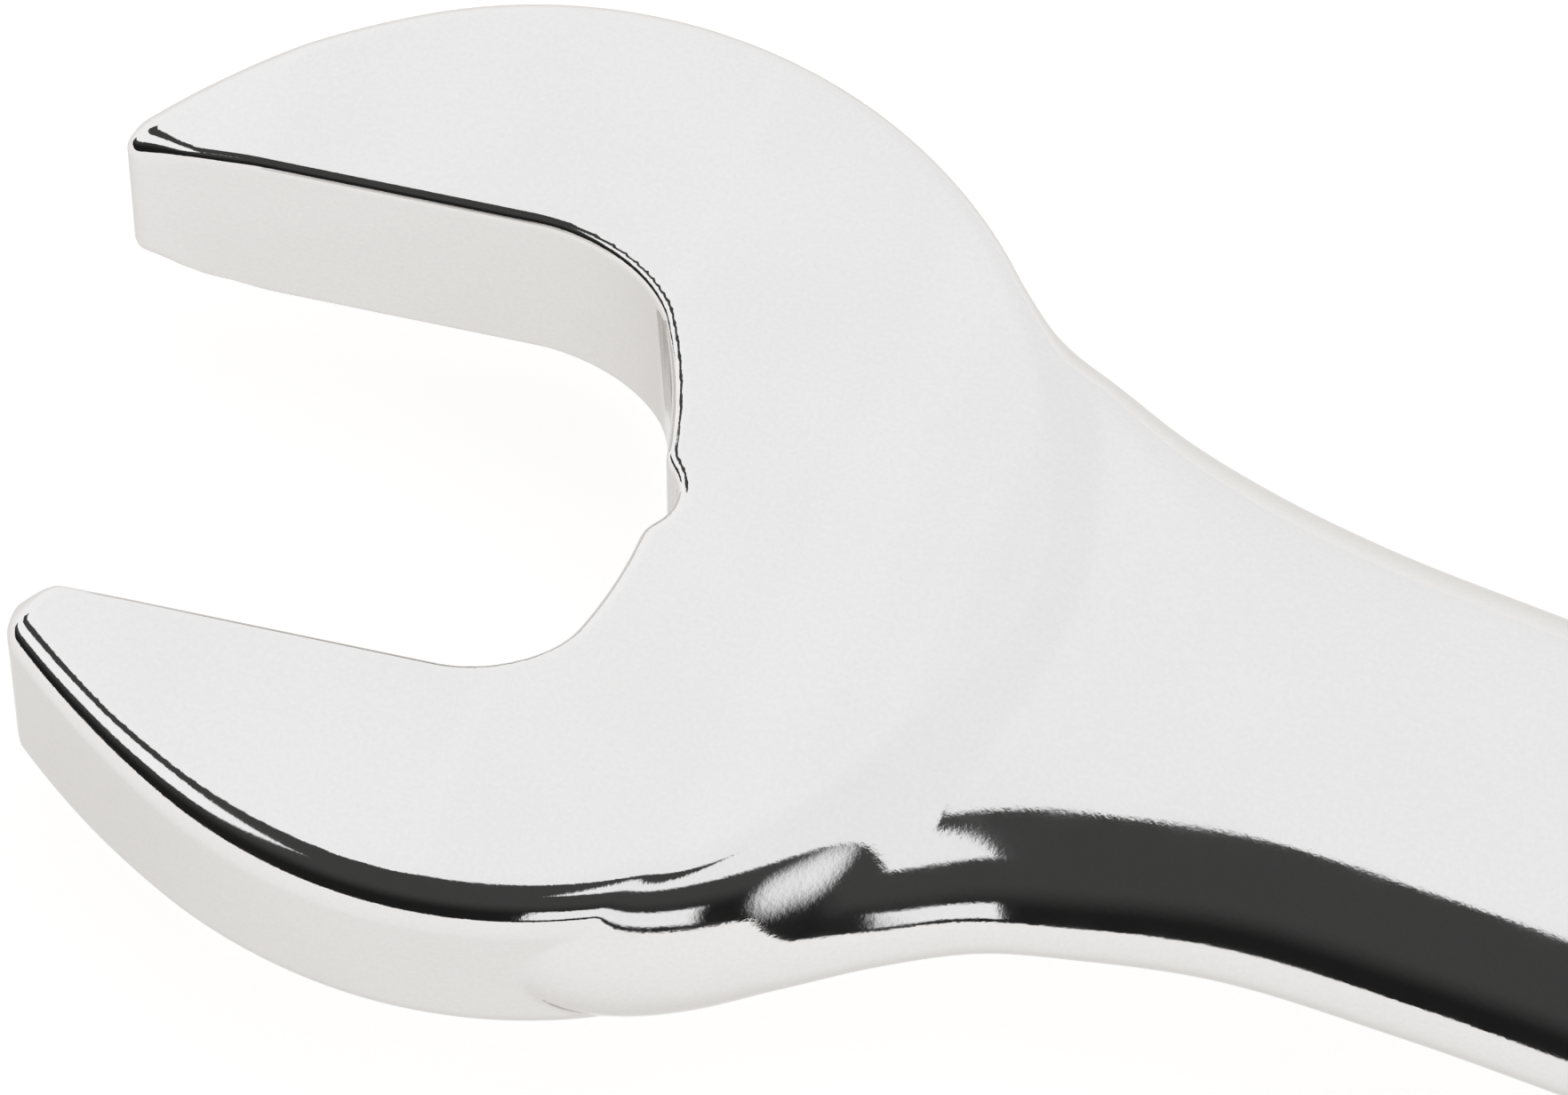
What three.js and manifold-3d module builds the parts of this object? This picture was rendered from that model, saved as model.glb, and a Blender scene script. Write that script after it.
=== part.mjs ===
// Combination wrench, 19 mm: open end at -X, reversible ratcheting ring at +X.
// Millimetres, +Z up. The shank's axis is the X axis, and the tool lies on the ring's lower face.
import * as THREE from 'three';
import { mergeVertices } from 'three/addons/utils/BufferGeometryUtils.js';
import Module from 'manifold-3d';

const wasm = await Module();
wasm.setup();

const DEG = Math.PI / 180;

// Overall layout
const CENTRES = 211; // open-end centre to ring centre
const MIDDLE_X = 105.26; // from the open-end centre to the middle of the whole length
const LIFT = 6.2; // mid-plane above the resting plane

// Open end
const JAW_GAP = 19.2; // across the jaw flats
const HEAD_R = 19.95;
const HEAD_HALF = 4.75; // half of the head's thickness
const HEAD_EDGE = 0.9;
const HEAD_TURN = 8.5 * DEG; // jaw axis against the shank's axis
const FAR_TIP_GROWTH = 1.4; // how far the tips reach beyond the round head
const NEAR_TIP_GROWTH = 1;
const FAR_TIP_R = 1.1;
const NEAR_TIP_R = 1.6;
const TIP_FACET_X = -12.4; // where the tips begin to thin down
const TIP_FACET_SLOPE = 0.12;
const THROAT_X = 5.05; // bottom of the throat's arc
const THROAT_R = 16.5;
const THROAT_CORNER_R = 3;
const NOTCH_R = 1.6;
const NOTCH_X = 4.2;
const NOTCH_Y = -0.75;

// Shank
const SHANK_HALF = 3.8; // half of the shank's thickness
const SHANK_EDGE = 6; // how far its elliptical sides reach inwards

// Ring housing
const RING_R = 19.2;
const RING_HALF = 6.2;
const RING_EDGE = 1.1;
const GEAR_BORE_R = 14.35;
const GEAR_BORE_FLOOR = -5;
const LIP_R = 13;
const GROOVE_R = 15.3;
const GROOVE_Z = [4.15, 5.25];

// Ratchet gear
const TEETH = 72;
const TOOTH_TIP_R = 14;
const TOOTH_ROOT_R = 13.15;
const TOOTH_TIP_HALF = 0.5 * DEG;
const TOOTH_ROOT_HALF = 1.9 * DEG;
const GEAR_Z = [-4.7, 3.4];
const COLLAR_R = 12.2;
const COLLAR_HALF = 5.95;
const BORE_FLATS = 19.1; // across the flats of the 12-point bore

// Pawl, its pin and its pocket, from the ring's centre
const PIN_X = -16.6;
const PIN_R = 1;
const PIN_Z = [-6, 4.2];
const PAWL_ROCK = 6 * DEG; // each way from neutral
const PAWL_Z = [-2.9, 2.3];
const POCKET_Z = [-3.2, 2.6];
const MESH_GAP = 0.17;

// Reversing lever, its stem and its plunger
const LEVER_X = -22.5;
const LEVER_SWING = 20 * DEG; // each way from neutral
const STEM_R = 2.7;
const STEM_HOLE_R = 3;
const STEM_FOOT_R = 1.9;
const SEAT_Z = 4.4;
const SEAT_R = 5.2;
const DIAL_R = 4.7;
const DIAL_Z = [4.6, 6.3];
const TAB_REACH = 12.4;
const PLUNGER_R = 0.8;
const PLUNGER_REACH = 3.8;
const PAWL_BACK_R = 4.1;

// Turns a closed three.js geometry into a solid that can be cut and joined.
function solid(geometry) {
  const bare = geometry.index ? geometry.toNonIndexed() : geometry.clone();
  bare.deleteAttribute('normal');
  bare.deleteAttribute('uv');
  const merged = mergeVertices(bare, 1e-4);
  return new wasm.Manifold(new wasm.Mesh({
    numProp: 3,
    vertProperties: new Float32Array(merged.attributes.position.array),
    triVerts: new Uint32Array(merged.index.array),
  }));
}

// Turns a solid back into a named mesh.
function node(name, body, material) {
  const { vertProperties, triVerts } = body.getMesh();
  const geometry = new THREE.BufferGeometry();
  geometry.setAttribute('position', new THREE.BufferAttribute(vertProperties, 3));
  geometry.setIndex(new THREE.BufferAttribute(triVerts, 1));
  geometry.computeVertexNormals();
  const mesh = new THREE.Mesh(geometry, material);
  mesh.name = name;
  return mesh;
}

function steel(color, roughness, metalness = 1) {
  return new THREE.MeshStandardMaterial({ color, roughness, metalness });
}

// A flat outline pulled up from z0 to z1.
function prism(outline, z0, z1) {
  const options = { depth: z1 - z0, bevelEnabled: false };
  return solid(new THREE.ExtrudeGeometry(outline, options).translate(0, 0, z0));
}

// The same with its outer edges rounded inwards by the radius given.
function softPrism(outline, z0, z1, radius, bevelSegments = 3) {
  const geometry = new THREE.ExtrudeGeometry(outline, {
    depth: z1 - z0 - 2 * radius,
    bevelEnabled: true,
    bevelThickness: radius,
    bevelSize: radius,
    bevelOffset: -radius,
    bevelSegments,
  });
  return solid(geometry.translate(0, 0, z0 + radius));
}

// An upright cylinder or cone.
function disc(x, y, radius, z0, z1, sides = 32, topRadius = radius) {
  const geometry = new THREE.CylinderGeometry(topRadius, radius, z1 - z0, sides);
  geometry.rotateX(Math.PI / 2);
  return solid(geometry.translate(x, y, (z0 + z1) / 2));
}

function polygon(corners) {
  return new THREE.Shape(corners.map(([x, y]) => new THREE.Vector2(x, y)));
}

// Points along an arc, both ends included.
function arc(x, y, radius, from, to, steps) {
  return Array.from({ length: steps + 1 }, (_, i) => {
    const turn = from + ((to - from) * i) / steps;
    return [x + radius * Math.cos(turn), y + radius * Math.sin(turn)];
  });
}

function circle(x, y, radius, sides) {
  return polygon(arc(x, y, radius, 0, 2 * Math.PI, sides).slice(1));
}

// A smooth curve y(x) through the knots given.
function through(knots) {
  const slope = (i) => {
    const a = knots[Math.max(i - 1, 0)];
    const b = knots[Math.min(i + 1, knots.length - 1)];
    return (b[1] - a[1]) / (b[0] - a[0]);
  };
  return (x) => {
    let i = 0;
    while (i < knots.length - 2 && x > knots[i + 1][0]) i += 1;
    const [[x0, y0], [x1, y1]] = [knots[i], knots[i + 1]];
    const t = Math.min(Math.max((x - x0) / (x1 - x0), 0), 1);
    const s = t * t * (3 - 2 * t);
    const rise = (x1 - x0) * t * (1 - t) * ((1 - t) * slope(i) - t * slope(i + 1));
    return y0 + (y1 - y0) * s + rise;
  };
}

// ---------------------------------------------------------------- body
// Head outline in the jaw's own frame: a round disc, open towards -X, with its two tips rounded.
function headOutline() {
  const half = JAW_GAP / 2;
  const tip = (growth, radius) => {
    const reach = HEAD_R + growth - radius;
    const turn = Math.PI - Math.asin((half + radius) / reach);
    return { x: reach * Math.cos(turn), y: half + radius, radius, turn };
  };
  const far = tip(FAR_TIP_GROWTH, FAR_TIP_R);
  const near = tip(NEAR_TIP_GROWTH, NEAR_TIP_R);
  const rim = Array.from({ length: 70 }, (_, i) => {
    const turn = -near.turn + ((far.turn + near.turn) * i) / 69;
    const past = turn > 0
      ? Math.max(turn - 116 * DEG, 0) / (far.turn - 116 * DEG)
      : Math.max(-turn - 120 * DEG, 0) / (near.turn - 120 * DEG);
    const radius = HEAD_R + past ** 2 * (turn > 0 ? FAR_TIP_GROWTH : NEAR_TIP_GROWTH);
    return [radius * Math.cos(turn), radius * Math.sin(turn)];
  });
  return polygon([
    [-6, -half],
    ...arc(near.x, -near.y, near.radius, 90 * DEG, 360 * DEG - near.turn, 7).slice(0, -1),
    ...rim,
    ...arc(far.x, far.y, far.radius, far.turn, 270 * DEG, 7).slice(1),
    [-6, half],
  ]);
}

// The opening between the jaws, with a rounded throat and a small relief notch at its bottom.
function throatOutline() {
  const half = JAW_GAP / 2;
  const centre = THROAT_X - THROAT_R;
  const cornerY = half - THROAT_CORNER_R;
  const reach = THROAT_R - THROAT_CORNER_R;
  const cornerX = centre + Math.sqrt(reach ** 2 - cornerY ** 2);
  const turn = Math.atan2(cornerY, cornerX - centre);
  return polygon([
    [-30, -half],
    ...arc(cornerX, -cornerY, THROAT_CORNER_R, -90 * DEG, -turn, 8),
    ...arc(centre, 0, THROAT_R, -turn, turn, 20).slice(1),
    ...arc(cornerX, cornerY, THROAT_CORNER_R, turn, 90 * DEG, 8).slice(1),
    [-30, half],
  ]);
}

// A wedge that thins one face of the tips down: side is +1 for the upper face, -1 for the lower.
function tipWedge(side) {
  const reach = 14;
  const drop = reach * TIP_FACET_SLOPE;
  const section = polygon([[0, 0], [-reach, -side * drop], [-reach, side * 4], [0, side * 4]]);
  const geometry = new THREE.ExtrudeGeometry(section, { depth: 60, bevelEnabled: false });
  geometry.rotateX(Math.PI / 2);
  return solid(geometry.translate(TIP_FACET_X, 30, side * HEAD_HALF));
}

function openEnd() {
  const blank = softPrism(headOutline(), -HEAD_HALF, HEAD_HALF, HEAD_EDGE);
  return blank
    .subtract(tipWedge(1))
    .subtract(tipWedge(-1))
    .rotate([0, 0, HEAD_TURN / DEG]);
}

// The shank is one round-sided section carried along X, while its width and thickness change.
function shank() {
  const nominal = 8;
  const side = (from, to, shift) => arc(0, 0, 1, from, to, 12)
    .map(([x, y]) => [shift + SHANK_EDGE * x, SHANK_HALF * y]);
  const section = polygon([
    ...side(-90 * DEG, 90 * DEG, nominal - SHANK_EDGE),
    ...side(90 * DEG, 270 * DEG, SHANK_EDGE - nominal),
  ]);
  const ringward = [
    [CENTRES - 62, 7.5], [CENTRES - 44, 7.6], [CENTRES - 33, 8.4], [CENTRES - 24, 10],
    [CENTRES - 17, 12.5], [CENTRES - 12, 14.4],
  ];
  const far = through([
    [9, 17.2], [13, 14.7], [16, 13.4], [19, 12.5], [22, 11.5], [26, 10.65],
    [30, 10.15], [38, 9.75], [46, 9.4], [70, 8.5], ...ringward,
  ]);
  const near = through([
    [9, 18.5], [13, 17.1], [16, 15.2], [19, 13.1], [22, 11.3], [26, 10],
    [30, 9.05], [38, 8.6], [46, 8.65], [70, 8.2], ...ringward,
  ]);
  const thicken = (x) => {
    const t = THREE.MathUtils.smoothstep(x, CENTRES - 44, CENTRES - 19);
    const headward = 1 - THREE.MathUtils.smoothstep(x, 60, 110);
    return 1 + (t * (RING_HALF - SHANK_HALF) + 0.3 * headward) / SHANK_HALF;
  };
  const stations = [];
  for (let x = 9; x < 40; x += 2.4) stations.push(x);
  for (let x = 42; x < CENTRES - 48; x += 15) stations.push(x);
  for (let x = CENTRES - 48; x <= CENTRES - 11.9; x += 2.4) stations.push(x);
  const geometry = new THREE.ExtrudeGeometry(section, {
    depth: stations.length - 1,
    steps: stations.length - 1,
    bevelEnabled: false,
  });
  const position = geometry.attributes.position;
  for (let i = 0; i < position.count; i += 1) {
    const x = stations[Math.round(position.getZ(i))];
    const y = position.getX(i);
    const z = position.getY(i);
    const width = y > 0 ? far(x) - nominal : nominal - near(x);
    position.setXYZ(i, x, y + width, z * thicken(x));
  }
  return solid(geometry);
}

// The pocket for the pawl opens into the gear bore on one side and the stem hole on the other.
function pocketOutline() {
  const side = [
    [-11.5, 8.4], [-14.9, 8.4], [-16.9, 7.2], [-19.1, 5.2], [-20.6, 3.1], [-21.6, 2.2],
  ];
  return polygon([...side, ...side.map(([x, y]) => [x, -y]).reverse()]);
}

// The fan that the thumb tab swings over.
function fanOutline() {
  const reach = TAB_REACH + 1;
  const half = LEVER_SWING + 22 * DEG;
  return polygon([
    [LEVER_X, SEAT_R - 0.05],
    ...arc(LEVER_X, 0, reach, Math.PI - half, Math.PI + half, 16),
    [LEVER_X, 0.05 - SEAT_R],
  ]);
}

function ringCuts() {
  const over = RING_HALF + 2;
  return [
    disc(0, 0, GEAR_BORE_R, GEAR_BORE_FLOOR, over, 72),
    disc(0, 0, LIP_R, -over, over, 60),
    disc(0, 0, GROOVE_R, GROOVE_Z[0], GROOVE_Z[1], 60),
    prism(pocketOutline(), POCKET_Z[0], POCKET_Z[1]),
    disc(PIN_X, 0, PIN_R + 0.1, -over, PIN_Z[1] + 0.3, 24),
    disc(LEVER_X, 0, STEM_HOLE_R, POCKET_Z[0], over, 32),
    disc(LEVER_X, 0, STEM_HOLE_R + 0.5, SEAT_Z - 0.8, over, 32),
    disc(LEVER_X, 0, STEM_FOOT_R + 0.15, -over, 0, 24),
    disc(LEVER_X, 0, 3.7, -over, -4, 32),
    disc(LEVER_X, 0, SEAT_R, SEAT_Z, over, 40),
    prism(fanOutline(), SEAT_Z, over),
  ];
}

function body() {
  const ring = softPrism(circle(0, 0, RING_R, 80), -RING_HALF, RING_HALF, RING_EDGE);
  const blank = openEnd().add(shank()).add(ring.translate([CENTRES, 0, 0]));
  const throat = prism(throatOutline(), -10, 10)
    .add(disc(NOTCH_X, NOTCH_Y, NOTCH_R, -10, 10, 32))
    .rotate([0, 0, HEAD_TURN / DEG]);
  return ringCuts().reduce(
    (left, cut) => left.subtract(cut.translate([CENTRES, 0, 0])),
    blank.subtract(throat),
  );
}

// ---------------------------------------------------------------- ratchet, about the ring's centre
// The toothed outline; grow widens every tooth by that many millimetres for the pawl's clearance.
function gearOutline(grow = 0) {
  const corners = [];
  const widen = grow / TOOTH_TIP_R;
  for (let i = 0; i < TEETH; i += 1) {
    const middle = (i * 2 * Math.PI) / TEETH;
    const corner = (radius, turn) => corners.push([
      (radius + grow) * Math.cos(middle + turn),
      (radius + grow) * Math.sin(middle + turn),
    ]);
    corner(TOOTH_ROOT_R, -TOOTH_ROOT_HALF - 0.6 * widen);
    corner(TOOTH_TIP_R, -TOOTH_TIP_HALF - widen);
    corner(TOOTH_TIP_R, TOOTH_TIP_HALF + widen);
    corner(TOOTH_ROOT_R, TOOTH_ROOT_HALF + 0.6 * widen);
  }
  return polygon(corners);
}

// Two hexagons turned 30 degrees against each other.
function twelvePoint() {
  const outer = BORE_FLATS / 2 / Math.cos(30 * DEG);
  const inner = BORE_FLATS / 2 / Math.cos(15 * DEG);
  const corners = [];
  for (let i = 0; i < 24; i += 1) {
    const radius = i % 2 ? inner : outer;
    corners.push([radius * Math.cos(i * 15 * DEG), radius * Math.sin(i * 15 * DEG)]);
  }
  return polygon(corners);
}

function gear() {
  const lead = BORE_FLATS / 2 + 0.2;
  return prism(gearOutline(), GEAR_Z[0], GEAR_Z[1])
    .add(disc(0, 0, COLLAR_R, -COLLAR_HALF, COLLAR_HALF, 72))
    .subtract(prism(twelvePoint(), -8, 8))
    .subtract(disc(0, 0, lead, COLLAR_HALF - 1.5, COLLAR_HALF + 0.2, 48, lead + 1.9))
    .subtract(disc(0, 0, lead + 1.9, -COLLAR_HALF - 0.2, 1.5 - COLLAR_HALF, 48, lead));
}

// A flat washer, or a split ring when a gap is given in degrees.
function flatRing(inner, outer, z0, z1, gap = 0, turn = 0) {
  if (!gap) return disc(0, 0, outer, z0, z1, 48).subtract(disc(0, 0, inner, z0 - 1, z1 + 1, 48));
  const a = (turn + gap / 2) * DEG;
  const b = (turn + 360 - gap / 2) * DEG;
  const outline = polygon([...arc(0, 0, outer, a, b, 44), ...arc(0, 0, inner, b, a, 44)]);
  return prism(outline, z0, z1);
}

function oRing(x, radius, thickness, z) {
  const geometry = new THREE.TorusGeometry(radius, thickness / 2, 6, 32);
  return solid(geometry.translate(x, 0, z));
}

// The pawl in its neutral position. Each toothed end is the gear's own shape, cut with the
// pawl rocked to that end's working position.
function pawl() {
  const side = [[-11.9, 3], [-12.2, 6.2], [-13.7, 7.6], [-15.6, 6.8], [-18.2, 5], [-19.9, 3.1]];
  const outline = polygon([...side, [-19.2, 0], ...side.map(([x, y]) => [x, -y]).reverse()]);
  const rock = (part, turn) => part
    .translate([-PIN_X, 0, 0])
    .rotate([0, 0, turn / DEG])
    .translate([PIN_X, 0, 0]);
  const teeth = prism(gearOutline(MESH_GAP), -4, 4);
  const relief = prism(circle(0, 0, TOOTH_TIP_R + 0.6, 72), -4, 4)
    .intersect(solid(new THREE.BoxGeometry(40, 6.4, 8)));
  return prism(outline, PAWL_Z[0], PAWL_Z[1])
    .subtract(rock(teeth, PAWL_ROCK))
    .subtract(rock(teeth, -PAWL_ROCK))
    .subtract(relief)
    .subtract(disc(LEVER_X, 0, PAWL_BACK_R, -4, 4, 72))
    .subtract(disc(PIN_X, 0, PIN_R + 0.1, -4, 4, 24));
}

// ---------------------------------------------------------------- lever, about its own stem
// The plunger points along +X and the thumb tab along -X.
function leverBody() {
  const tip = 3 - TAB_REACH;
  const tab = polygon([[0, -4], [0, 4], ...arc(tip, 0, 3.1, 90 * DEG, 270 * DEG, 14)]);
  const pad = polygon([
    [tip + 1.4, -2.9], [tip + 1.4, 2.9], ...arc(tip, 0, 2.9, 90 * DEG, 270 * DEG, 14),
  ]);
  const ribs = [0, 1, 2].map((i) => solid(
    new THREE.BoxGeometry(0.7, 4.2, 0.5).translate(tip - 1.4 + 1.25 * i, 0, 6.95),
  ));
  const bore = new THREE.CylinderGeometry(0.95, 0.95, 7, 14).rotateZ(Math.PI / 2);
  const upper = softPrism(circle(0, 0, DIAL_R, 36), DIAL_Z[0], DIAL_Z[1], 0.4, 2)
    .add(softPrism(tab, DIAL_Z[0], DIAL_Z[1], 0.4, 2))
    .add(softPrism(pad, DIAL_Z[0] + 0.4, DIAL_Z[1] + 0.5, 0.4, 2));
  const stem = disc(0, 0, STEM_R, -3, DIAL_Z[0] + 0.5, 32)
    .add(disc(0, 0, STEM_FOOT_R, -5.5, 0, 24))
    .subtract(flatRing(1.3, 3, -4.95, -4.15))
    .subtract(solid(bore.translate(1.5, 0, 0)));
  return ribs.reduce((left, rib) => left.add(rib), upper.add(stem));
}

function plunger() {
  const profile = [new THREE.Vector2(0, 1.2), new THREE.Vector2(PLUNGER_R, 1.2)];
  for (let i = 0; i <= 6; i += 1) {
    const turn = i * 15 * DEG;
    const reach = PLUNGER_REACH - PLUNGER_R + PLUNGER_R * Math.sin(turn);
    profile.push(new THREE.Vector2(i < 6 ? PLUNGER_R * Math.cos(turn) : 0, reach));
  }
  return solid(new THREE.LatheGeometry(profile, 14).rotateZ(-Math.PI / 2));
}

// A coil spring along X between the bore's bottom and the plunger.
class Coil extends THREE.Curve {
  getPoint(t, target = new THREE.Vector3()) {
    const turn = t * 5 * 2 * Math.PI;
    return target.set(-1.75 + 2.75 * t, 0.66 * Math.cos(turn), 0.66 * Math.sin(turn));
  }
}

function spring() {
  const options = { steps: 60, extrudePath: new Coil() };
  return solid(new THREE.ExtrudeGeometry(circle(0, 0, 0.13, 6), options));
}

// ---------------------------------------------------------------- assembly
const wrench = new THREE.Group();
wrench.position.set(-MIDDLE_X, 0, LIFT);
wrench.add(node('wrench_body', body(), steel(0xdcdad7, 0.12)));

const ringGroup = new THREE.Group();
ringGroup.position.x = CENTRES;
ringGroup.add(
  node('ratchet_gear', gear(), steel(0xb4b2ae, 0.3)),
  node('gear_washer', flatRing(12.5, 14.1, 3.6, 3.95), steel(0x9c9a96, 0.35)),
  node('gear_retaining_ring', flatRing(13, 15.1, 4.3, 5.1, 16, 90), steel(0x4a4a4d, 0.4)),
  node('gear_seal_top', oRing(0, 12.6, 0.62, 4.75), steel(0x161616, 0.6, 0)),
  node('gear_seal_bottom', oRing(0, 12.6, 0.62, -5.45), steel(0x161616, 0.6, 0)),
  node('pawl_pin', disc(PIN_X, 0, PIN_R, PIN_Z[0], PIN_Z[1], 24), steel(0x8d8b88, 0.3)),
);
wrench.add(ringGroup);

const pawlMesh = node('pawl', pawl().translate([-PIN_X, 0, 0]), steel(0x77736d, 0.4));
pawlMesh.position.x = PIN_X;
pawlMesh.rotation.z = PAWL_ROCK;
ringGroup.add(pawlMesh);

const leverGroup = new THREE.Group();
leverGroup.position.x = LEVER_X;
leverGroup.rotation.z = -LEVER_SWING;
leverGroup.add(
  node('reversing_lever', leverBody(), steel(0xc9c7c3, 0.2)),
  node('lever_plunger', plunger(), steel(0x9a9894, 0.3)),
  node('lever_spring', spring(), steel(0xa9a7a3, 0.3)),
  node('lever_seal', oRing(0, 3.1, 0.64, 4.02), steel(0x161616, 0.6, 0)),
  node('lever_clip', flatRing(1.45, 2.9, -4.8, -4.3, 96, -90), steel(0x4a4a4d, 0.4)),
);
ringGroup.add(leverGroup);

export default wrench;
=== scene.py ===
"""Looks of a 19 mm combination wrench: open end, shank and a reversible ratcheting ring end."""

import math

import bmesh
import bpy
import numpy as np
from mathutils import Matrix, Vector


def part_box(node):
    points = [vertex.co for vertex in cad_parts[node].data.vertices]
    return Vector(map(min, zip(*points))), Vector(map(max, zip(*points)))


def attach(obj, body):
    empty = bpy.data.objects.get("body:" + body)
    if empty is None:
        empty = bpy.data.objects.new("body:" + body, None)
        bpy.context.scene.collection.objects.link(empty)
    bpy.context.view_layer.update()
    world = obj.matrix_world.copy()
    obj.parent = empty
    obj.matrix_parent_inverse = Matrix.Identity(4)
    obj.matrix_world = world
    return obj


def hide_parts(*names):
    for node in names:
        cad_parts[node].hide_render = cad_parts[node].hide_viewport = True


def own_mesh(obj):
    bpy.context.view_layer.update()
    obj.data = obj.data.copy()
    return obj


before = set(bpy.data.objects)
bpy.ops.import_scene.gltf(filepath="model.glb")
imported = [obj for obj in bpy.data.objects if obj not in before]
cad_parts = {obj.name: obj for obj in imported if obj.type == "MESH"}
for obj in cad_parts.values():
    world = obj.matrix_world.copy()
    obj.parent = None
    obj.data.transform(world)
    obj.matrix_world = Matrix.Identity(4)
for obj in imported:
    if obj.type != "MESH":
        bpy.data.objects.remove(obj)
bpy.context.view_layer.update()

MM = 0.001
DEG = math.pi / 180

# ------------------------------------------------------------------ sizes, millimetres
# Places come from the frame; x runs along the shank and z is counted from the mid-plane.
LOW, HIGH = (np.array(corner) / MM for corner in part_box("wrench_body"))
RING_HALF = (HIGH[2] - LOW[2]) / 2
MID_Z = (HIGH[2] + LOW[2]) / 2
RING_R = 19.2
RING_EDGE = 1.3
RING_X = HIGH[0] - RING_R
CENTRES = 211.0
HEAD_X = RING_X - CENTRES
LEVER_X = -22.5
PIN_X = -16.6

JAW_HALF = 9.6
THROAT_R = 16.5
THROAT_X = -11.45
FAR_CORNER = 3.0
NEAR_CORNER = 2.6
NOTCH_R = 1.6
NOTCH_X = 4.2
NOTCH_Y = -0.75
HEAD_R = 19.95
HEAD_HALF = 4.75
TIP_GROWTH = 1.4
FAR_RIM_EDGE = 0.95
NEAR_RIM_EDGE = 1.9
CREASE = (2.87, -5)
CREASE_R = 14.6
CREASE_SLOPE = 0.18
HEAD_TURN = 8.5 * DEG
FACET_X = -12.4
FACET_SLOPE = 0.12
SHANK_EDGE = 6.4
SHANK_HALF = 3.8
# Half widths of the shank from the open end's centre: (x, far side, near side).
WIDTHS = [
    (5, 18.2, 18.5),
    (9, 17.2, 18.5),
    (13, 14.7, 17.1),
    (16, 13.4, 15.2),
    (19, 12.5, 13.1),
    (22, 11.5, 11.3),
    (26, 10.65, 10.0),
    (30, 10.15, 9.05),
    (38, 9.75, 8.6),
    (46, 9.4, 8.65),
    (70, 8.5, 8.2),
    (CENTRES - 62, 7.5, 7.5),
    (CENTRES - 44, 7.6, 7.6),
    (CENTRES - 33, 8.4, 8.4),
    (CENTRES - 24, 10.0, 10.0),
    (CENTRES - 17, 12.5, 12.5),
    (CENTRES - 12, 14.4, 14.4),
    (CENTRES - 6, 15.5, 15.5),
]


# ------------------------------------------------------------------ distance fields
def smax(a, b, k):
    """The larger of two fields, with a fillet of width k."""
    h = np.maximum(k - np.abs(a - b), 0)
    return np.maximum(a, b) + h * h / (4 * k)


def smin(a, b, k):
    """The smaller of two fields, with a fillet of width k."""
    return -smax(-a, -b, k)


def round_meet(a, b, r):
    """Where two fields are both negative, with a corner of radius r."""
    inside = np.minimum(np.maximum(a, b), -r)
    return inside + np.hypot(np.maximum(a + r, 0), np.maximum(b + r, 0))


def step(a, b, x):
    """Goes smoothly from 0 at a to 1 at b."""
    t = np.clip((x - a) / (b - a), 0, 1)
    return t * t * (3 - 2 * t)


def through(x, knots):
    """A smooth curve through (x, y) knots."""
    kx, ky = np.array(knots, float).T
    slope = np.gradient(ky, kx)
    i = np.clip(np.searchsorted(kx, x) - 1, 0, len(kx) - 2)
    width = kx[i + 1] - kx[i]
    t = np.clip((x - kx[i]) / width, 0, 1)
    rise = width * t * (1 - t) * ((1 - t) * slope[i] - t * slope[i + 1])
    return ky[i] + (ky[i + 1] - ky[i]) * t * t * (3 - 2 * t) + rise


def turned(x, y, angle):
    """The same place in axes turned by angle."""
    c, s = math.cos(angle), math.sin(angle)
    return x * c + y * s, y * c - x * s


def disc(x, y, z, radius, low, high):
    """A round plug about z, from low to high."""
    return np.maximum(np.hypot(x, y) - radius, np.abs(z - (low + high) / 2) - (high - low) / 2)


def convex(x, y, corners):
    """Field of a convex outline whose corners run anticlockwise."""
    field = None
    for (x0, y0), (x1, y1) in zip(corners, corners[1:] + corners[:1]):
        long = math.hypot(x1 - x0, y1 - y0)
        side = ((x - x0) * (y1 - y0) - (y - y0) * (x1 - x0)) / long
        field = side if field is None else np.maximum(field, side)
    return field


def head_field(x, y, z):
    """A disc that swells at the jaw tips, thins at the far tip, and falls beyond a crease at the shank.
    Its rim is rounder on the near side, most of all away from the tip."""
    a, b = turned(x, y, HEAD_TURN)
    thin = np.maximum(FACET_X - a, 0)
    slope = FACET_SLOPE * (0.3 + 0.7 * step(-9, 9, b))
    half = HEAD_HALF - slope * (np.sqrt(thin * thin + 0.16) - 0.4)
    r = np.hypot(a, b)
    turn = np.arctan2(b, a) / DEG
    grow = np.where(b > 0, (turn - 116) / 32, (-turn - 120) / 26)
    radius = HEAD_R + np.where(b > 0, 0.85, 0.7) * TIP_GROWTH * np.clip(grow, 0, 1) ** 2
    beyond = (np.hypot(x - CREASE[0], np.minimum(y - CREASE[1], 0)) - CREASE_R) * step(2, 9, x)
    fall = HEAD_HALF - (CREASE_SLOPE + 0.25 * step(-9, -15, y)) * beyond
    edge = FAR_RIM_EDGE + (NEAR_RIM_EDGE - FAR_RIM_EDGE) * step(0, -8, b) * step(-22, -4, a)
    plate = round_meet(r - radius, np.abs(z) - half, edge)
    return smax(plate, np.abs(z) - fall, 0.12)


def throat_field(x, y):
    """The jaw opening with its rounded end and small notch, and the place along the jaw's own axes."""
    a, b = turned(x, y, HEAD_TURN)
    arc = np.hypot(np.maximum(a - THROAT_X, 0), b + 0.3) - THROAT_R
    slot = round_meet(np.abs(b) - JAW_HALF, arc, np.where(b > 0, FAR_CORNER, NEAR_CORNER))
    return smin(slot, np.hypot(a - NOTCH_X, b - NOTCH_Y) - NOTCH_R, 0.4), a, b


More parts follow.
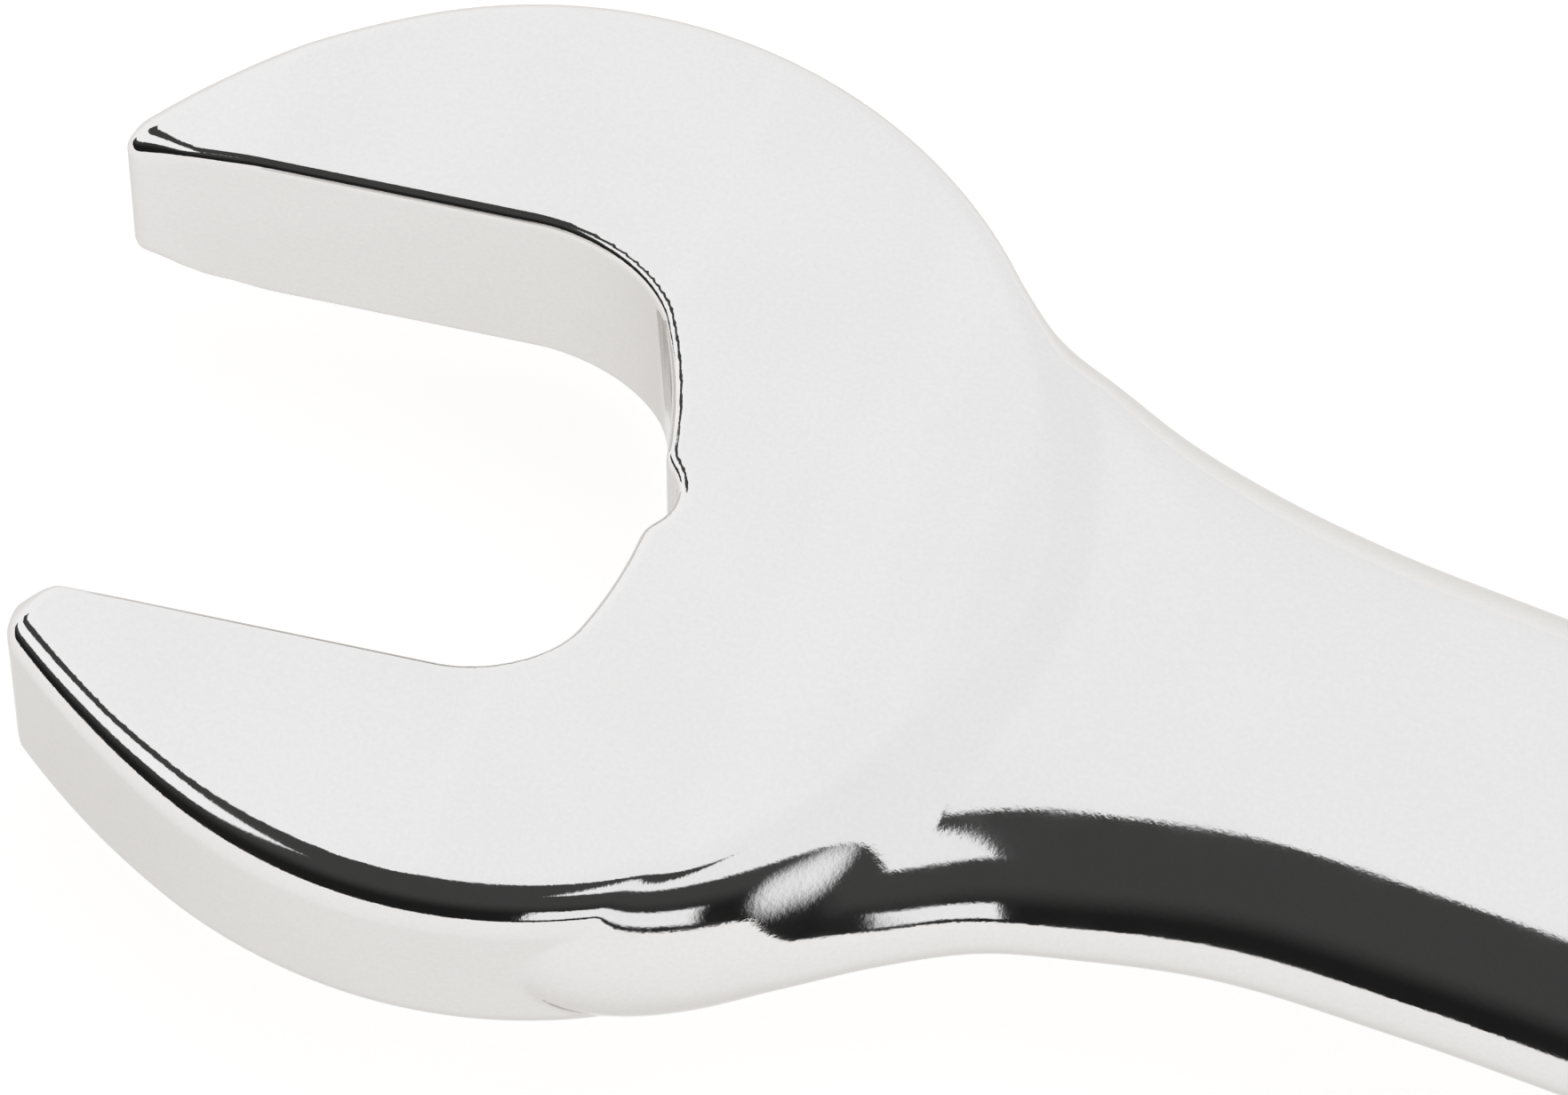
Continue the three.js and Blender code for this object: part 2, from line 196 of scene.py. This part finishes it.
def shank_field(x, y, z):
    """A crowned bar whose sides are half ellipses, thickening towards the ring."""
    far = through(x, [(k[0], k[1]) for k in WIDTHS])
    near = through(x, [(k[0], k[2]) for k in WIDTHS])
    side = np.where(y > 0, y - far, -y - near)
    rise = step(CENTRES - 44, CENTRES - 19, x)
    half = SHANK_HALF + 0.3 * (1 - step(60, 110, x)) + (RING_HALF - SHANK_HALF) * rise
    far_edge = SHANK_EDGE * (0.25 + 0.75 * step(12, 34, x))
    near_edge = SHANK_EDGE + 1.3 * (1 - step(20, 36, x)) - 5.2 * (1 - step(10, 20, x))
    edge = np.where(y > 0, far_edge, near_edge) - 3 * rise
    across = np.maximum(side + edge, 0) / edge
    crown = 0.15 * (1 - rise) * (y / np.where(y > 0, far, near)) ** 2
    up = (np.abs(z) + crown) / half
    body = (np.hypot(across, up) - 1) * half
    return np.maximum(body, np.maximum(6 - x, x - (CENTRES - 8)))


def fan_field(x, y):
    """The fan that the lever sweeps, about the lever's axis."""
    reach, half = 13.4, 42 * DEG
    cx, cy = -reach * math.cos(half), reach * math.sin(half)
    wide = 5.1
    corners = [(0, -wide), (0, wide), (cx, cy), (2 * cx, 2 * cy), (2 * cx, -2 * cy), (cx, -cy)]
    wedge = convex(x, y, corners)
    return np.maximum(wedge, np.hypot(x, y) - reach)


def ring_cuts(x, y, z, field):
    """The housing's bores and recesses, with x counted from the ring's centre."""
    r = np.hypot(x, y)
    field = smax(field, -np.maximum(r - 14.35, -5 - z), 0.35)
    field = smax(field, 13 - r, 0.3)
    field = np.maximum(field, -np.maximum(r - 15.3, np.abs(z - 4.7) - 0.55))
    corners = [(-11.5, 8.4), (-14.9, 8.4), (-16.9, 7.2), (-19.1, 5.2), (-20.6, 3.1), (-21.6, 2.2)]
    pocket = convex(x, y, corners + [(cx, -cy) for cx, cy in reversed(corners)])
    field = np.maximum(field, -np.maximum(pocket, np.abs(z + 0.3) - 2.9))
    field = np.maximum(field, -disc(x - PIN_X, y, z, 1.1, -9, 4.5))
    u = x - LEVER_X
    field = np.maximum(field, -disc(u, y, z, 3.0, -3.2, 9))
    field = np.maximum(field, -disc(u, y, z, 3.5, 3.6, 9))
    field = np.maximum(field, -disc(u, y, z, 2.05, -9, 0))
    field = smax(field, -disc(u, y, z, 3.7, -9, -4), 0.25)
    seat = np.maximum(smin(np.hypot(u, y) - 5.2, fan_field(u, y), 0.8), 4.4 - z)
    return smax(field, -seat, 0.35)


def body_field(x, y, z):
    """The whole forging, with the open end's centre at x = 0."""
    head = head_field(x, y, z)
    shank = shank_field(x, y, z)
    rx = x - CENTRES
    ring = round_meet(np.hypot(rx, y) - RING_R, np.abs(z) - RING_HALF, RING_EDGE)
    neck = smin(head, shank, 0.1 + 1.6 * step(8, 15, x))
    housing = smin(shank, ring, 1.5 + 2.5 * step(CENTRES - 40, CENTRES - 20, x))
    housing = smax(housing, np.abs(z) - RING_HALF, 0.3)
    field = np.where(x > CENTRES / 2, housing, neck)
    throat, a, b = throat_field(x, y)
    tip = step(-15.4, -18.0, a)
    field = smax(field, -throat, 0.6 + tip * np.where(b < 0, 4.6, 0.9))
    return np.where(x > CENTRES - 50, ring_cuts(rx, y, z, field), field)


# ------------------------------------------------------------------ fields to meshes
def grown(low, high, fine, coarse, fine_ranges):
    """Grid lines from low to high: fine steps inside the ranges, coarse ones between, easing over."""
    lines = [low]
    while lines[-1] < high:
        x = lines[-1]
        away = min(max(a - x, x - b, 0) for a, b in fine_ranges)
        lines.append(x + min(coarse, fine + 0.12 * away))
    return np.array(lines)


def net(field, u, v, w, place=lambda u, v: (u, v)):
    """Surface net of field over the grid lines u, v, w. place bends the grid in its own plane.
    Returns vertices, quads and outward normals."""
    values = np.empty((len(u), len(v), len(w)), np.float32)
    for i in range(0, len(u), 24):
        uu, vv, ww = np.meshgrid(u[i:i + 24], v, w, indexing="ij")
        values[i:i + 24] = field(*place(uu, vv), ww)
    inside = values < 0
    total = np.zeros(tuple(n - 1 for n in values.shape), np.int8)
    corners = [(i, j, k) for i in (0, 1) for j in (0, 1) for k in (0, 1)]
    sx, sy, sz = total.shape
    for i, j, k in corners:
        total += inside[i:i + sx, j:j + sy, k:k + sz]
    cells = np.argwhere((total > 0) & (total < 8))
    point = np.zeros((len(cells), 3))
    count = np.zeros(len(cells))
    for a in corners:
        for axis in range(3):
            if a[axis]:
                continue
            b = list(a)
            b[axis] = 1
            fa = values[tuple((cells + a).T)]
            fb = values[tuple((cells + b).T)]
            cut = (fa < 0) != (fb < 0)
            t = np.where(cut, fa / np.where(cut, fa - fb, 1), 0)
            spot = cells + np.array(a, float)
            spot[:, axis] += t
            point += spot * cut[:, None]
            count += cut
    point /= count[:, None]
    p = np.stack([np.interp(point[:, n], np.arange(len(g)), g) for n, g in enumerate((u, v, w))], 1)
    p[:, 0], p[:, 1] = place(p[:, 0], p[:, 1])
    for _ in range(4):
        g = slope_of(field, p)
        f = field(*p.T)
        move = (f / np.maximum((g * g).sum(1), 0.2))[:, None] * g
        p -= np.clip(move, -0.15, 0.15)
    index = np.full(total.shape, -1, np.int64)
    index[tuple(cells.T)] = np.arange(len(cells))
    quads = []
    for axis in range(3):
        p1, p2 = [n for n in range(3) if n != axis]
        lo = [slice(1, -1)] * 3
        hi = [slice(1, -1)] * 3
        lo[axis], hi[axis] = slice(0, -1), slice(1, None)
        a, b = inside[tuple(lo)], inside[tuple(hi)]
        edge = np.argwhere(a != b)
        first = a[tuple(edge.T)]
        base = edge + 1
        base[:, axis] -= 1
        ring = []
        for d1, d2 in ((-1, -1), (0, -1), (0, 0), (-1, 0)):
            c = base.copy()
            c[:, p1] += d1
            c[:, p2] += d2
            ring.append(index[tuple(c.T)])
        ring = np.stack(ring, 1)
        flip = first if axis != 1 else ~first
        ring[~flip] = ring[~flip][:, ::-1]
        quads.append(ring)
    n = slope_of(field, p)
    n /= np.maximum(np.linalg.norm(n, axis=1), 1e-9)[:, None]
    return p, np.concatenate(quads), n


def slope_of(field, p, eps=0.02):
    """Gradient of field at the points p."""
    g = np.empty_like(p)
    for n in range(3):
        d = np.zeros(3)
        d[n] = eps
        g[:, n] = (field(*(p + d).T) - field(*(p - d).T)) / (2 * eps)
    return g


def mesh_object(name, points, faces, normals=None):
    """A mesh from points in millimetres in the row frame, and faces with equal numbers of corners."""
    mesh = bpy.data.meshes.new(name)
    faces = np.asarray(faces)
    mesh.vertices.add(len(points))
    mesh.vertices.foreach_set("co", (np.asarray(points) * MM).astype(np.float32).ravel())
    mesh.loops.add(faces.size)
    mesh.loops.foreach_set("vertex_index", faces.astype(np.int32).ravel())
    mesh.polygons.add(len(faces))
    mesh.polygons.foreach_set("loop_start", np.arange(0, faces.size, faces.shape[1], dtype=np.int32))
    mesh.update(calc_edges=True)
    mesh.validate()
    mesh.shade_smooth()
    if normals is not None:
        mesh.normals_split_custom_set_from_vertices(normals.astype(np.float32))
    obj = bpy.data.objects.new(name, mesh)
    bpy.context.scene.collection.objects.link(obj)
    return obj


# ------------------------------------------------------------------ body
def bent(u, v):
    """Grid lines follow the jaw's axis round the head, and the shank's beyond it."""
    turn = HEAD_TURN * (1 - step(6, 46, u))
    knots = np.linspace(-40, 240, 561)
    angle = HEAD_TURN * (1 - step(6, 46, knots))
    run_x = np.concatenate([[0], np.cumsum(np.cos(angle[:-1]) * 0.5)])
    run_y = np.concatenate([[0], np.cumsum(np.sin(angle[:-1]) * 0.5)])
    run_x -= np.interp(0, knots, run_x)
    run_y -= np.interp(0, knots, run_y)
    slack = run_y[-1] * step(0, 46, u)
    return (
        np.interp(u, knots, run_x) - v * np.sin(turn),
        np.interp(u, knots, run_y) - slack + v * np.cos(turn),
    )


fine = 0.26
head_part = grown(-20.6, 90, fine, 1.6, [(-21, 22)])
ring_part = grown(head_part[-1] + 1.6, CENTRES + 20.6, 1.7 * fine, 1.6, [(CENTRES - 34, CENTRES + 20)])
grid_u = np.concatenate([head_part, ring_part])
grid_v = np.arange(-20.7, 20.71, 1.05 * fine)
grid_w = np.arange(-6.9, 6.91, fine)
points, quads, normals = net(body_field, grid_u, grid_v, grid_w, bent)
body = mesh_object("forged_body", points + [HEAD_X, 0, MID_Z], quads, normals)


# ------------------------------------------------------------------ lever
TAB_REACH = 12.4
LEVER_TURN = -20 * DEG
LEVER_AT = np.array([RING_X + LEVER_X, 0, MID_Z])


def lever_field(x, y, z):
    """The lever about its own stem, tab towards -x."""
    tip = 3 - TAB_REACH
    dial = round_meet(np.hypot(x, y) - 4.7, np.abs(z - 5.45) - 0.85, 0.4)
    tab = convex(x, y, [(tip, -3.1), (0, -4), (0, 4), (tip, 3.1)])
    tab = smin(tab, np.hypot(x - tip, y) - 3.1, 0.3)
    tab = round_meet(tab, np.abs(z - 5.4) - 0.8, 0.4)
    field = smin(dial, tab, 0.7)
    dish = np.hypot(np.hypot(x, y) * 0.3, z - 7.15) - 0.95
    field = smax(field, -dish, 0.2)
    along = np.where(x > tip, np.maximum(x - tip - 1.2, 0), x - tip)
    pad = np.maximum(np.hypot(along, y) - 2.7, x - tip - 1.6)
    ribs = 0.22 * np.cos((x - tip + 1.45) * (2 * np.pi / 1.15))
    pad = round_meet(pad, np.abs(z - 6) - (0.68 + ribs), 0.35)
    field = smin(field, pad, 0.35)
    r = np.hypot(x, y)
    stem = smin(disc(x, y, z, 2.7, -3, 5), disc(x, y, z, 1.9, -5.5, 0), 0.15)
    stem = np.maximum(stem, -np.maximum(1.3 - r, np.abs(z + 4.55) - 0.4))
    bore = np.maximum(np.hypot(y, z) - 0.95, np.abs(x - 1.5) - 3.5)
    return smin(field, np.maximum(stem, -bore), 0.3)


def spun(points, angle):
    """Points turned about z."""
    c, s = math.cos(angle), math.sin(angle)
    return points @ np.array([[c, s, 0], [-s, c, 0], [0, 0, 1]])


lever_fine = 0.17
lp, lq, ln = net(
    lever_field,
    np.arange(-12.9, 5.3, lever_fine),
    np.arange(-5.2, 5.3, lever_fine),
    np.arange(-6.0, 7.6, lever_fine),
)
lever = mesh_object("lever_forging", spun(lp, LEVER_TURN) + LEVER_AT, lq, spun(ln, LEVER_TURN))


# ------------------------------------------------------------------ small turned pieces
def tube(name, path, radius, sides=16, closed=True):
    """A round bar along a path of points."""
    path = np.asarray(path, float)
    ahead = np.roll(path, -1, 0) - np.roll(path, 1, 0)
    if not closed:
        ahead[0], ahead[-1] = path[1] - path[0], path[-1] - path[-2]
    ahead /= np.linalg.norm(ahead, axis=1)[:, None]
    across = np.cross(ahead, [0, 0, 1.0])
    across /= np.linalg.norm(across, axis=1)[:, None]
    over = np.cross(across, ahead)
    turn = np.linspace(0, 2 * np.pi, sides, endpoint=False)
    around = np.cos(turn)[None, :, None] * across[:, None] + np.sin(turn)[None, :, None] * over[:, None]
    points = (path[:, None] + radius * around).reshape(-1, 3)
    rows = len(path) if closed else len(path) - 1
    faces = []
    for i in range(rows):
        for j in range(sides):
            a, b = i * sides, (i + 1) % len(path) * sides
            k = (j + 1) % sides
            faces.append((a + j, a + k, b + k, b + j))
    if closed:
        return mesh_object(name, points, faces)
    return capped(name, points, faces, sides)


def capped(name, points, faces, sides):
    """Closes the two ends of an open tube."""
    bm = bmesh.new()
    verts = [bm.verts.new(Vector(p) * MM) for p in points]
    for face in faces:
        bm.faces.new([verts[i] for i in face])
    bm.faces.new(verts[:sides][::-1])
    bm.faces.new(verts[-sides:])
    return finished(name, bm)


def finished(name, bm):
    """A smooth-shaded object from bm, with its faces turned outwards."""
    bmesh.ops.recalc_face_normals(bm, faces=bm.faces)
    mesh = bpy.data.meshes.new(name)
    bm.to_mesh(mesh)
    bm.free()
    mesh.shade_smooth()
    obj = bpy.data.objects.new(name, mesh)
    bpy.context.scene.collection.objects.link(obj)
    return obj


def turned_copy(name, node, width):
    """The CAD node's own shape with flat faces joined and every sharp edge broken."""
    bm = bmesh.new()
    bm.from_mesh(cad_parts[node].data)
    bmesh.ops.remove_doubles(bm, verts=bm.verts, dist=2e-6)
    bmesh.ops.dissolve_limit(bm, angle_limit=0.6 * DEG, verts=bm.verts, edges=bm.edges)
    obj = finished(name, bm)
    bevel = obj.modifiers.new("broken_edges", "BEVEL")
    bevel.width = width * MM
    bevel.segments = 2
    bevel.limit_method = "ANGLE"
    bevel.angle_limit = 24 * DEG
    bevel.harden_normals = True
    bevel.use_clamp_overlap = True
    return obj


def ring_path(x, radius, z, count=128):
    """A circle of points about (x, 0) at height z."""
    turn = np.linspace(0, 2 * np.pi, count, endpoint=False)
    return np.stack([x + radius * np.cos(turn), radius * np.sin(turn), z + 0 * turn], 1)


COLLAR_R = 12.6
SEAL_BAR = 0.31
seal_top = tube("collar_seal_top", ring_path(RING_X, COLLAR_R, MID_Z + 4.75), SEAL_BAR)
seal_bottom = tube("collar_seal_bottom", ring_path(RING_X, COLLAR_R, MID_Z - 5.45), SEAL_BAR)
stem_seal = tube("stem_seal", ring_path(RING_X + LEVER_X, 3.1, MID_Z + 4.02, 72), 0.32)
# The spring lies along the lever's bore, its foot at COIL_FOOT.
COIL_FOOT = -1.75
COIL_LONG = 2.75
COIL_R = 0.66
COIL_TURNS = 5
WIRE_R = 0.13
wind = np.linspace(0, 1, 181)
winding = wind * 2 * COIL_TURNS * np.pi
coil = np.stack([COIL_FOOT + COIL_LONG * wind, COIL_R * np.cos(winding), COIL_R * np.sin(winding)], 1)
spring = tube("plunger_spring", spun(coil, LEVER_TURN) + LEVER_AT, WIRE_R, 8, closed=False)

# (piece, CAD node, body it rides on, width of its broken edges, finish)
COPIES = [
    ("ratchet_ring", "ratchet_gear", "gear", 0.12, "satin_nickel"),
    ("thrust_washer", "gear_washer", "frame", 0.06, "bright_steel"),
    ("snap_ring", "gear_retaining_ring", "frame", 0.12, "blackened_steel"),
    ("pivot_pin", "pawl_pin", "frame", 0.15, "bright_steel"),
    ("ratchet_pawl", "pawl", "pawl", 0.08, "hardened_steel"),
    ("detent_plunger", "lever_plunger", "plunger", 0.06, "bright_steel"),
    ("stem_clip", "lever_clip", "lever", 0.08, "blackened_steel"),
]
# (piece, CAD node, body it rides on, finish)
MADE = [
    (body, "wrench_body", "frame", "polished_chrome"),
    (lever, "reversing_lever", "lever", "lever_chrome"),
    (seal_top, "gear_seal_top", "frame", "seal_rubber"),
    (seal_bottom, "gear_seal_bottom", "frame", "seal_rubber"),
    (stem_seal, "lever_seal", "lever", "seal_rubber"),
    (spring, "lever_spring", "lever", "bright_steel"),
]
for name, node, rides, width, finish in COPIES:
    MADE.append((turned_copy(name, node, width), node, rides, finish))


# ------------------------------------------------------------------ node helpers
class Web:
    """Short ways to add shader nodes to one tree."""

    def __init__(self, tree):
        self.tree = tree
        tree.nodes.clear()

    def add(self, kind, **settings):
        made = self.tree.nodes.new("ShaderNode" + kind)
        for key, value in settings.items():
            setattr(made, key, value)
        return made

    def feed(self, socket, value):
        if hasattr(value, "links"):
            self.tree.links.new(value, socket)
        else:
            socket.default_value = value

    def math(self, operation, *values):
        made = self.add("Math", operation=operation)
        for socket, value in zip(made.inputs, values):
            self.feed(socket, value)
        return made.outputs[0]

    def ease(self, value, start, end, low=0.0, high=1.0):
        """Goes smoothly from low at start to high at end."""
        made = self.add("MapRange", interpolation_type="SMOOTHSTEP")
        rising = start < end
        ends = (start, end, low, high) if rising else (end, start, high, low)
        self.feed(made.inputs[0], value)
        for socket, v in zip(made.inputs[1:5], ends):
            socket.default_value = v
        return made.outputs[0]

    def noise(self, place, scale, detail=2.0, roughness=0.5):
        made = self.add("TexNoise")
        self.feed(made.inputs["Vector"], place)
        made.inputs["Scale"].default_value = scale
        made.inputs["Detail"].default_value = detail
        made.inputs["Roughness"].default_value = roughness
        return made.outputs[0]

    def mix(self, factor, one, two):
        made = self.add("Mix", data_type="RGBA")
        self.feed(made.inputs[0], factor)
        self.feed(made.inputs[6], one if hasattr(one, "links") else (*one, 1))
        self.feed(made.inputs[7], two if hasattr(two, "links") else (*two, 1))
        return made.outputs[2]

    def stretched(self, place, scale):
        made = self.add("Mapping")
        self.feed(made.inputs[0], place)
        made.inputs["Scale"].default_value = scale
        return made.outputs[0]

    def bump(self, height, distance, under=None):
        made = self.add("Bump")
        made.inputs["Strength"].default_value = 1.0
        made.inputs["Distance"].default_value = distance
        self.feed(made.inputs["Height"], height)
        if under is not None:
            self.feed(made.inputs["Normal"], under)
        return made.outputs[0]


def surface(name, metallic, ior=1.5):
    """A new material: itself, its node web, the shader's inputs and the place on the object."""
    made = bpy.data.materials.new(name)
    made.use_nodes = True
    web = Web(made.node_tree)
    shader = web.add("BsdfPrincipled")
    shader.inputs["Metallic"].default_value = metallic
    shader.inputs["IOR"].default_value = ior
    web.feed(web.add("OutputMaterial").inputs[0], shader.outputs[0])
    place = web.add("TexCoord").outputs["Object"]
    return made, web, shader.inputs, place


def polished(name, light, dark, low, high, pits=True):
    """Bright plate over a ground forging: faint waves, a fine grain and a few pits."""
    made, web, shader, place = surface(name, 1.0)
    shader["Specular Tint"].default_value = (0.8, 0.79, 0.78, 1)
    cloud = web.noise(place, 160, 3)
    grain = web.noise(place, 5200, 2, 0.6)
    tone = web.math("ADD", web.math("MULTIPLY", cloud, 0.35), web.math("MULTIPLY", grain, 0.65))
    colour = web.mix(web.ease(tone, 0.3, 0.7), dark, light)
    height = grain
    if pits:
        cells = web.add("TexVoronoi")
        web.feed(cells.inputs["Vector"], place)
        cells.inputs["Scale"].default_value = 230
        pick = web.add("SeparateColor")
        web.feed(pick.inputs[0], cells.outputs["Color"])
        chosen = web.math("GREATER_THAN", pick.outputs[0], 0.93)
        pit = web.math("MULTIPLY", chosen, web.ease(cells.outputs["Distance"], 0.05, 0.015))
        colour = web.mix(web.math("MULTIPLY", pit, 0.55), colour, tuple(0.45 * c for c in dark))
        height = web.math("SUBTRACT", grain, web.math("MULTIPLY", pit, 3.0))
    web.feed(shader["Base Color"], colour)
    web.feed(shader["Roughness"], web.ease(web.noise(place, 420, 4), 0.3, 0.7, low, high))
    waves = web.bump(web.noise(place, 70, 1), 0.00003)
    web.feed(shader["Normal"], web.bump(height, 0.0000022, waves))
    return made


def machined(name, light, dark, low, high, stretch):
    """Turned or ground metal: fine lines along one direction, and a cloudy tone."""
    made, web, shader, place = surface(name, 1.0)
    lines = web.noise(web.stretched(place, stretch), 1.0, 3, 0.6)
    cloud = web.noise(place, 380, 3)
    tone = web.math("ADD", web.math("MULTIPLY", cloud, 0.55), web.math("MULTIPLY", lines, 0.45))
    web.feed(shader["Base Color"], web.mix(web.ease(tone, 0.3, 0.7), dark, light))
    web.feed(shader["Roughness"], web.ease(lines, 0.25, 0.75, low, high))
    web.feed(shader["Normal"], web.bump(lines, 0.000004))
    return made


def turned_metal(name, light, dark, low, high):
    """Rings of turning marks about the ring's axis."""
    made, web, shader, place = surface(name, 1.0)
    parts = web.add("SeparateXYZ")
    web.feed(parts.inputs[0], place)
    x = web.math("SUBTRACT", parts.outputs[0], RING_X * MM)
    x_squared = web.math("POWER", x, 2.0)
    radius = web.math("SQRT", web.math("ADD", x_squared, web.math("POWER", parts.outputs[1], 2.0)))
    spot = web.add("CombineXYZ")
    web.feed(spot.inputs[0], web.math("MULTIPLY", radius, 9000.0))
    web.feed(spot.inputs[2], web.math("MULTIPLY", parts.outputs[2], 9000.0))
    rings = web.noise(spot.outputs[0], 1.0, 2)
    cloud = web.noise(place, 300, 3)
    tone = web.math("ADD", web.math("MULTIPLY", cloud, 0.5), web.math("MULTIPLY", rings, 0.5))
    web.feed(shader["Base Color"], web.mix(web.ease(tone, 0.3, 0.7), dark, light))
    web.feed(shader["Roughness"], web.ease(cloud, 0.3, 0.7, low, high))
    web.feed(shader["Normal"], web.bump(rings, 0.000005))
    return made


def nitrile(name):
    """Dull black rubber."""
    made, web, shader, place = surface(name, 0.0, 1.52)
    cloud = web.noise(place, 900, 3)
    black, grey = (0.012, 0.012, 0.013), (0.03, 0.03, 0.031)
    web.feed(shader["Base Color"], web.mix(web.ease(cloud, 0.3, 0.7), black, grey))
    web.feed(shader["Roughness"], web.ease(web.noise(place, 2400, 2), 0.3, 0.7, 0.38, 0.6))
    web.feed(shader["Normal"], web.bump(cloud, 0.00001))
    return made


FINISHES = {
    "polished_chrome": polished(
        "mirror_chrome", (0.77, 0.755, 0.745), (0.745, 0.73, 0.72), 0.04, 0.085
    ),
    "lever_chrome": polished(
        "satin_chrome", (0.74, 0.73, 0.72), (0.64, 0.63, 0.62), 0.2, 0.3, False
    ),
    "satin_nickel": turned_metal(
        "satin_nickel", (0.66, 0.65, 0.63), (0.5, 0.49, 0.47), 0.24, 0.38
    ),
    "bright_steel": machined(
        "ground_steel", (0.6, 0.59, 0.57), (0.45, 0.44, 0.42), 0.22, 0.4, (300, 300, 6000)
    ),
    "blackened_steel": machined(
        "black_oxide", (0.1, 0.1, 0.105), (0.035, 0.035, 0.04), 0.3, 0.5, (900, 900, 900)
    ),
    "hardened_steel": machined(
        "heat_treated", (0.45, 0.43, 0.4), (0.26, 0.24, 0.215), 0.3, 0.5, (900, 900, 5000)
    ),
    "seal_rubber": nitrile("nitrile_rubber"),
}
for obj, node, rides, finish in MADE:
    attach(obj, rides)
    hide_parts(node)
    obj.data.materials.clear()
    obj.data.materials.append(FINISHES[finish])
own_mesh(spring)

# ------------------------------------------------------------------ floor, light and camera
FLOOR_SIZE = 24.0
FLOOR_DROP = 0.00002
bm = bmesh.new()
for cx, cy in ((-1, -1), (1, -1), (1, 1), (-1, 1)):
    bm.verts.new((cx * FLOOR_SIZE / 2, cy * FLOOR_SIZE / 2, -FLOOR_DROP))
bm.faces.new(bm.verts)
floor = finished("floor", bm)
paper = bpy.data.materials.new("pale_paper")
paper.use_nodes = True
web = Web(paper.node_tree)
sheet = web.add("BsdfPrincipled")
sheet.inputs["Base Color"].default_value = (0.27, 0.27, 0.27, 1)
sheet.inputs["Roughness"].default_value = 0.9
sheet.inputs["Emission Color"].default_value = (1, 0.995, 0.985, 1)
sheet.inputs["Emission Strength"].default_value = 0.86
web.feed(web.add("OutputMaterial").inputs[0], sheet.outputs[0])
floor.data.materials.append(paper)

# The studio: a white room with a dark opening on the near side, and a lit strip and a lit box in it.
# tilt and climb are measures of a direction's height, and climb is in degrees above the near horizon.
# The camera itself sees the room without the opening.
ROOM = 1.07
GLOOM = 0.06
world = bpy.data.worlds.new("white_studio")
bpy.context.scene.world = world
world.use_nodes = True
web = Web(world.node_tree)
parts = web.add("SeparateXYZ")
web.feed(parts.inputs[0], web.add("TexCoord").outputs["Generated"])
wx, wy, wz = parts.outputs
climb = web.math("MULTIPLY", web.math("ARCTAN2", wz, web.math("MULTIPLY", wy, -1.0)), 180 / math.pi)
tilt = web.math("ADD", web.math("MULTIPLY", wy, 0.5), web.math("MULTIPLY", wz, 0.866))
upper = web.math("MULTIPLY", web.ease(tilt, 0.825, 0.805), web.ease(climb, 122, 116))
right = web.ease(wx, 0.25, 0.21)
lower_right = web.math("MULTIPLY", web.ease(wx, 0.84, 0.78), web.ease(climb, 63, 60))
dark = web.math("MULTIPLY", upper, web.math("MAXIMUM", right, lower_right))
dark = web.math("MULTIPLY", dark, web.ease(climb, -14, -8))
half_strip = web.math("MULTIPLY", web.ease(wx, -0.24, -0.5), 0.225)
off_strip = web.math("SUBTRACT", web.math("ABSOLUTE", web.math("SUBTRACT", tilt, 0.4)), half_strip)
strip = web.ease(off_strip, -0.005, -0.025)
box = web.math("MULTIPLY", web.ease(wx, 0.33, 0.36), web.ease(wx, 0.68, 0.62))
box = web.math("MULTIPLY", box, web.math("MULTIPLY", web.ease(climb, 4, 7), web.ease(climb, 27, 24)))
lit = web.math("MAXIMUM", strip, box)
dark = web.math("MULTIPLY", dark, web.math("SUBTRACT", 1.0, lit))
seen = web.add("LightPath").outputs["Is Camera Ray"]
dark = web.math("MULTIPLY", dark, web.math("SUBTRACT", 1.0, seen))
gloom = web.mix(web.ease(climb, 18, 45), (GLOOM * 0.25,) * 3, (GLOOM,) * 3)
cool_wall = (ROOM * 0.97, ROOM * 0.985, ROOM)
bright_wall = (ROOM * 1.05, ROOM * 1.065, ROOM * 1.08)
walls = web.mix(web.ease(wx, 0.3, -0.7), cool_wall, bright_wall)
back = web.add("Background")
web.feed(back.inputs[0], web.mix(dark, walls, gloom))
web.feed(web.add("OutputWorld").inputs[0], back.outputs[0])

CAMERA_TURN = 21.9 * DEG
CAMERA_CLIMB = 59.8 * DEG
CAMERA_AWAY = 450.0
AIM = np.array([HEAD_X + 9.41, 2.02, MID_Z])
IMAGE_WIDE = 1764
FRAME_WIDE = IMAGE_WIDE / 30.0
SENSOR = 36
back_way = np.array([
    math.sin(CAMERA_TURN) * math.cos(CAMERA_CLIMB),
    -math.cos(CAMERA_TURN) * math.cos(CAMERA_CLIMB),
    math.sin(CAMERA_CLIMB),
])
camera = bpy.data.objects.new("camera", bpy.data.cameras.new("camera"))
bpy.context.scene.collection.objects.link(camera)
camera.location = Vector((AIM + back_way * CAMERA_AWAY) * MM)
camera.rotation_mode = "QUATERNION"
camera.rotation_quaternion = Vector(-back_way).to_track_quat("-Z", "Y")
camera.data.sensor_width = SENSOR
camera.data.lens = SENSOR * CAMERA_AWAY / FRAME_WIDE
camera.data.clip_start = 0.01
bpy.context.scene.camera = camera
bpy.context.scene.view_settings.view_transform = "Standard"
